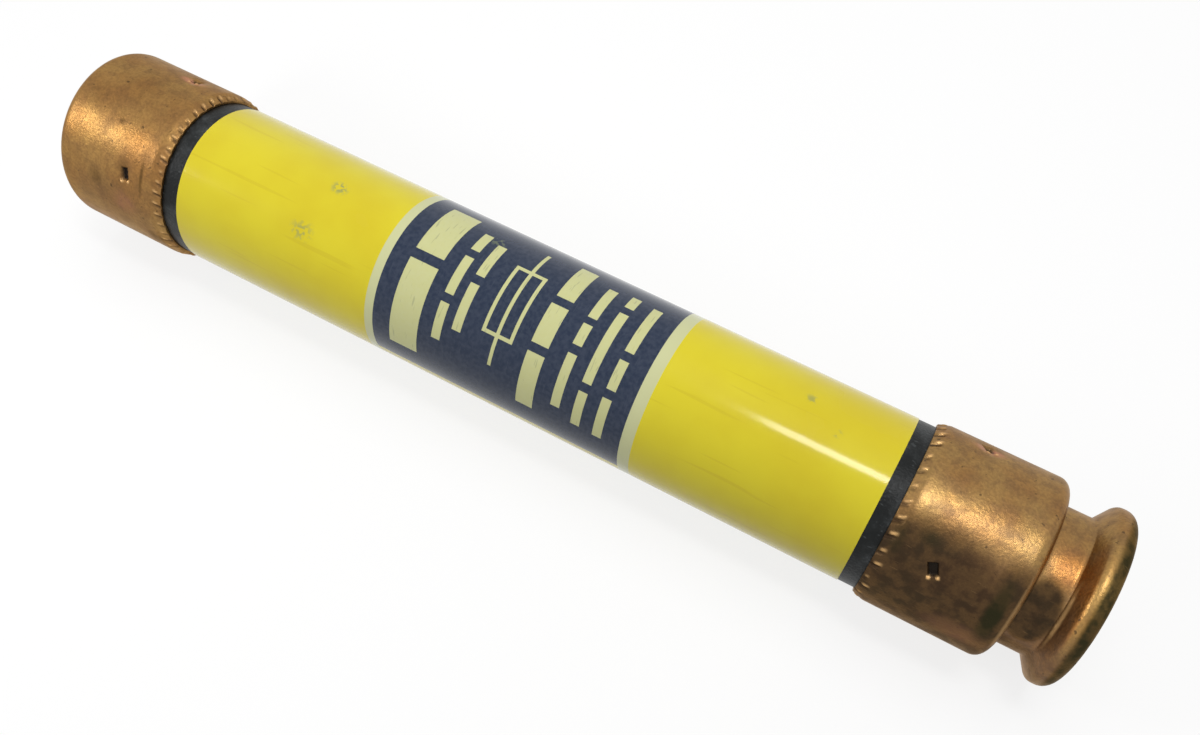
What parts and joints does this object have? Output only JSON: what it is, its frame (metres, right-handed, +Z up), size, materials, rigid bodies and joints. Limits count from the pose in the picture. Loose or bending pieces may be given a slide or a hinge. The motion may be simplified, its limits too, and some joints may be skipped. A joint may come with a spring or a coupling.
{
  "type": "cartridge fuse",
  "caption": "Dual-element current-limiting cartridge fuse: black tube, glossy wrapped label, drawn metal ferrules, one of them with a rejection groove and flange.",
  "frame": {"origin": "on the fuse's axis, at half the overall length", "axes": "+X along the fuse towards the rejection ferrule, +Z up as it lies on a table"},
  "size_m": [0.127, 0.0206, 0.0206],
  "materials": {
    "black_tube": "satin",
    "yellow_label": "gloss",
    "aged_bronze": "satin",
    "washer_brass": "satin",
    "barrier_fibre": "matte",
    "solder": "satin",
    "copper_strip": "satin",
    "quartz_sand": "matte",
    "heater_alloy": "satin",
    "copper_block": "satin",
    "trip_alloy": "polished",
    "plunger_brass": "satin",
    "spring_steel": "satin",
    "barrel_brass": "satin"
  },
  "bodies": {
    "cartridge": {"cartridge_tube": "black_tube", "label_wrap": "yellow_label", "plain_ferrule": "aged_bronze", "rejection_ferrule": "aged_bronze", "plain_end_washer": "washer_brass", "rejection_end_washer": "washer_brass", "plain_end_solder": "solder", "rejection_end_solder": "solder", "plain_fuse_link": "copper_strip", "rejection_fuse_link": "copper_strip", "plain_sand_fill": "quartz_sand", "rejection_sand_fill": "quartz_sand", "plain_barrier_disc": "barrier_fibre", "rejection_barrier_disc": "barrier_fibre", "chamber_liner": "barrier_fibre", "heater_strip": "heater_alloy", "heat_absorber": "copper_block", "trip_solder": "trip_alloy", "trip_spring": "spring_steel", "trip_barrel": "barrel_brass", "barrel_cap": "barrel_brass"},
    "plunger": {"trip_plunger": "plunger_brass"}
  },
  "joints": [
    {"name": "overload_trip", "type": "slide", "parent": "cartridge", "child": "plunger", "axis": [1, 0, 0], "range_m": [0, 0.006], "deforming": ["trip_spring"]}
  ]
}
